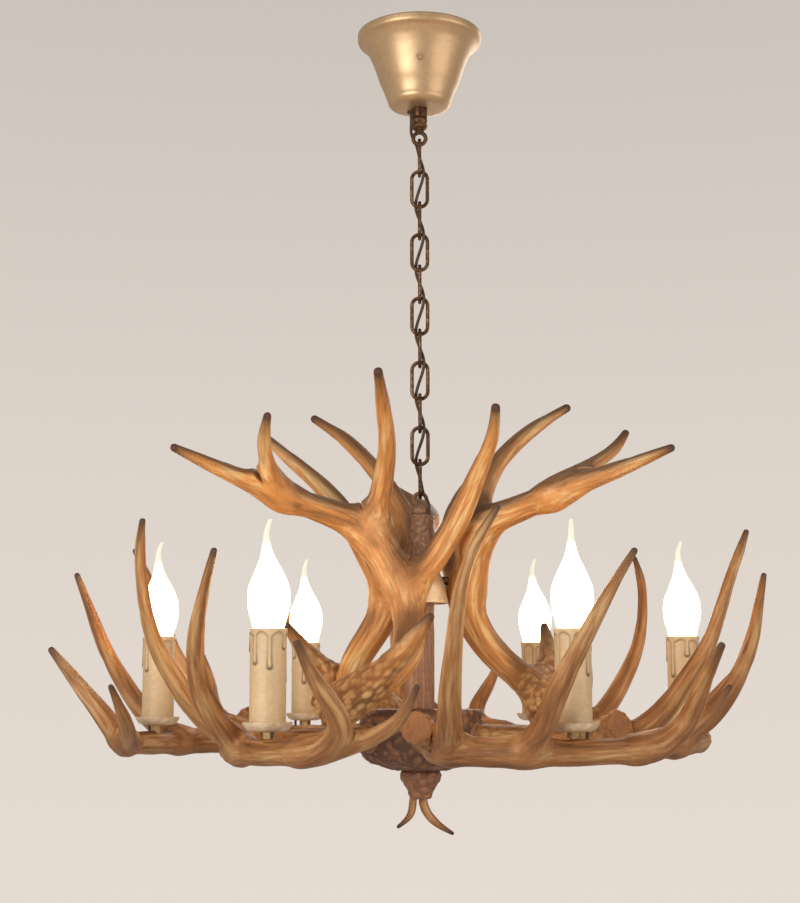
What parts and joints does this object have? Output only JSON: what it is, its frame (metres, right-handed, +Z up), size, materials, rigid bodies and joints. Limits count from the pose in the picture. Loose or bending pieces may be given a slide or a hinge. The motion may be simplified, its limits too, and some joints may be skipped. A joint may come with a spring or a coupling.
{
  "type": "antler chandelier",
  "caption": "Hanging ceiling light made of cast antlers round a short column, with candle lamps on a ring, on a woven cord and link chain below a bell canopy.",
  "frame": {"origin": "centre of the ceiling face, midway between the bracket's two screw holes", "axes": "+Z up to the ceiling, +X to the right and -Y towards the viewer of the picture"},
  "size_m": [0.6706, 0.6664, 0.7866],
  "materials": {
    "canopy_gold": "satin champagne lacquer",
    "gold_screw": "satin",
    "bell_gold": "satin",
    "zinc_steel": "zinc plated",
    "bronze": "dark bronze with rubbed highlights",
    "cup_bronze": "aged bronze paint",
    "brass": "dull",
    "cord_brown": "matt",
    "white_plastic": "matt",
    "resin_antler": "cast resin, grooved and stained",
    "resin_hub": "cast resin, bark texture",
    "candle_cream": "cream with painted drips",
    "bulb_glass": "frosted, lit"
  },
  "bodies": {
    "ceiling": {"ceiling_bracket": "zinc_steel", "canopy_screws": "gold_screw", "canopy": "canopy_gold", "canopy_boss": "bronze", "canopy_nipple": "zinc_steel", "canopy_nuts": "zinc_steel", "canopy_loop": "bronze", "cord_grommet": "cord_brown", "terminal_block": "white_plastic", "supply_cord": "cord_brown"},
    "link_01": {"chain_link_01": "bronze"},
    "link_02": {"chain_link_02": "bronze"},
    "link_03": {"chain_link_03": "bronze"},
    "link_04": {"chain_link_04": "bronze"},
    "link_05": {"chain_link_05": "bronze"},
    "link_06": {"chain_link_06": "bronze"},
    "link_07": {"chain_link_07": "bronze"},
    "link_08": {"chain_link_08": "bronze"},
    "link_09": {"chain_link_09": "bronze"},
    "link_10": {"chain_link_10": "bronze"},
    "link_11": {"chain_link_11": "bronze"},
    "fixture": {"body_loop": "bronze", "centre_tube": "zinc_steel", "top_hub": "resin_hub", "bell_collar": "bell_gold", "antler_spider": "bronze", "column_sleeve": "resin_hub", "lower_hub": "resin_hub", "hub_lid": "resin_hub", "antler_bolts": "zinc_steel", "hub_nuts": "zinc_steel", "finial_knob": "resin_hub", "finial_antlers": "resin_hub", "candle_cups": "cup_bronze", "candle_studs": "brass", "candle_nuts": "brass", "candle_leads": "cord_brown", "lamp_holders": "white_plastic", "lower_antler_1": "resin_antler", "lower_antler_2": "resin_antler", "lower_antler_3": "resin_antler", "lower_antler_4": "resin_antler", "lower_antler_5": "resin_antler", "lower_antler_6": "resin_antler", "upper_antler_1": "resin_antler", "upper_antler_2": "resin_antler", "upper_antler_3": "resin_antler", "candle_sleeve_1": "candle_cream", "candle_sleeve_2": "candle_cream", "candle_sleeve_3": "candle_cream", "candle_sleeve_4": "candle_cream", "candle_sleeve_5": "candle_cream", "candle_sleeve_6": "candle_cream"},
    "lamp_1": {"bulb_1": "bulb_glass"},
    "lamp_2": {"bulb_2": "bulb_glass"},
    "lamp_3": {"bulb_3": "bulb_glass"},
    "lamp_4": {"bulb_4": "bulb_glass"},
    "lamp_5": {"bulb_5": "bulb_glass"},
    "lamp_6": {"bulb_6": "bulb_glass"}
  },
  "joints": [
    {"name": "link_01_swing", "type": "hinge", "parent": "ceiling", "child": "link_01", "pos_m": [0, 0, -0.1134], "axis": [1, 0, 0], "range_deg": [-6, 6], "deforming": ["supply_cord"]},
    {"name": "link_02_swing", "type": "hinge", "parent": "link_01", "child": "link_02", "pos_m": [0, 0, -0.1456], "axis": [0, 1, 0], "range_deg": [-6, 6]},
    {"name": "link_03_swing", "type": "hinge", "parent": "link_02", "child": "link_03", "pos_m": [0, 0, -0.1779], "axis": [1, 0, 0], "range_deg": [-6, 6]},
    {"name": "link_04_swing", "type": "hinge", "parent": "link_03", "child": "link_04", "pos_m": [0, 0, -0.2102], "axis": [0, 1, 0], "range_deg": [-6, 6]},
    {"name": "link_05_swing", "type": "hinge", "parent": "link_04", "child": "link_05", "pos_m": [0, 0, -0.2425], "axis": [1, 0, 0], "range_deg": [-6, 6]},
    {"name": "link_06_swing", "type": "hinge", "parent": "link_05", "child": "link_06", "pos_m": [0, 0, -0.2748], "axis": [0, 1, 0], "range_deg": [-6, 6]},
    {"name": "link_07_swing", "type": "hinge", "parent": "link_06", "child": "link_07", "pos_m": [0, 0, -0.3071], "axis": [1, 0, 0], "range_deg": [-6, 6]},
    {"name": "link_08_swing", "type": "hinge", "parent": "link_07", "child": "link_08", "pos_m": [0, 0, -0.3394], "axis": [0, 1, 0], "range_deg": [-6, 6]},
    {"name": "link_09_swing", "type": "hinge", "parent": "link_08", "child": "link_09", "pos_m": [0, 0, -0.3717], "axis": [1, 0, 0], "range_deg": [-6, 6]},
    {"name": "link_10_swing", "type": "hinge", "parent": "link_09", "child": "link_10", "pos_m": [0, 0, -0.404], "axis": [0, 1, 0], "range_deg": [-6, 6]},
    {"name": "link_11_swing", "type": "hinge", "parent": "link_10", "child": "link_11", "pos_m": [0, 0, -0.4363], "axis": [1, 0, 0], "range_deg": [-6, 6]},
    {"name": "fixture_swing", "type": "hinge", "parent": "link_11", "child": "fixture", "pos_m": [0, 0, -0.4686], "axis": [0, 1, 0], "range_deg": [-6, 6]},
    {"name": "bulb_1_screw", "type": "hinge", "parent": "fixture", "child": "lamp_1", "pos_m": [0.125, -0.21651, -0.6038], "axis": [0, 0, 1], "range_deg": [0, 990]},
    {"name": "bulb_2_screw", "type": "hinge", "parent": "fixture", "child": "lamp_2", "pos_m": [0.25, 0, -0.6038], "axis": [0, 0, 1], "range_deg": [0, 990]},
    {"name": "bulb_3_screw", "type": "hinge", "parent": "fixture", "child": "lamp_3", "pos_m": [0.125, 0.21651, -0.6038], "axis": [0, 0, 1], "range_deg": [0, 990]},
    {"name": "bulb_4_screw", "type": "hinge", "parent": "fixture", "child": "lamp_4", "pos_m": [-0.125, 0.21651, -0.6038], "axis": [0, 0, 1], "range_deg": [0, 990]},
    {"name": "bulb_5_screw", "type": "hinge", "parent": "fixture", "child": "lamp_5", "pos_m": [-0.25, 0, -0.6038], "axis": [0, 0, 1], "range_deg": [0, 990]},
    {"name": "bulb_6_screw", "type": "hinge", "parent": "fixture", "child": "lamp_6", "pos_m": [-0.125, -0.21651, -0.6038], "axis": [0, 0, 1], "range_deg": [0, 990]}
  ]
}
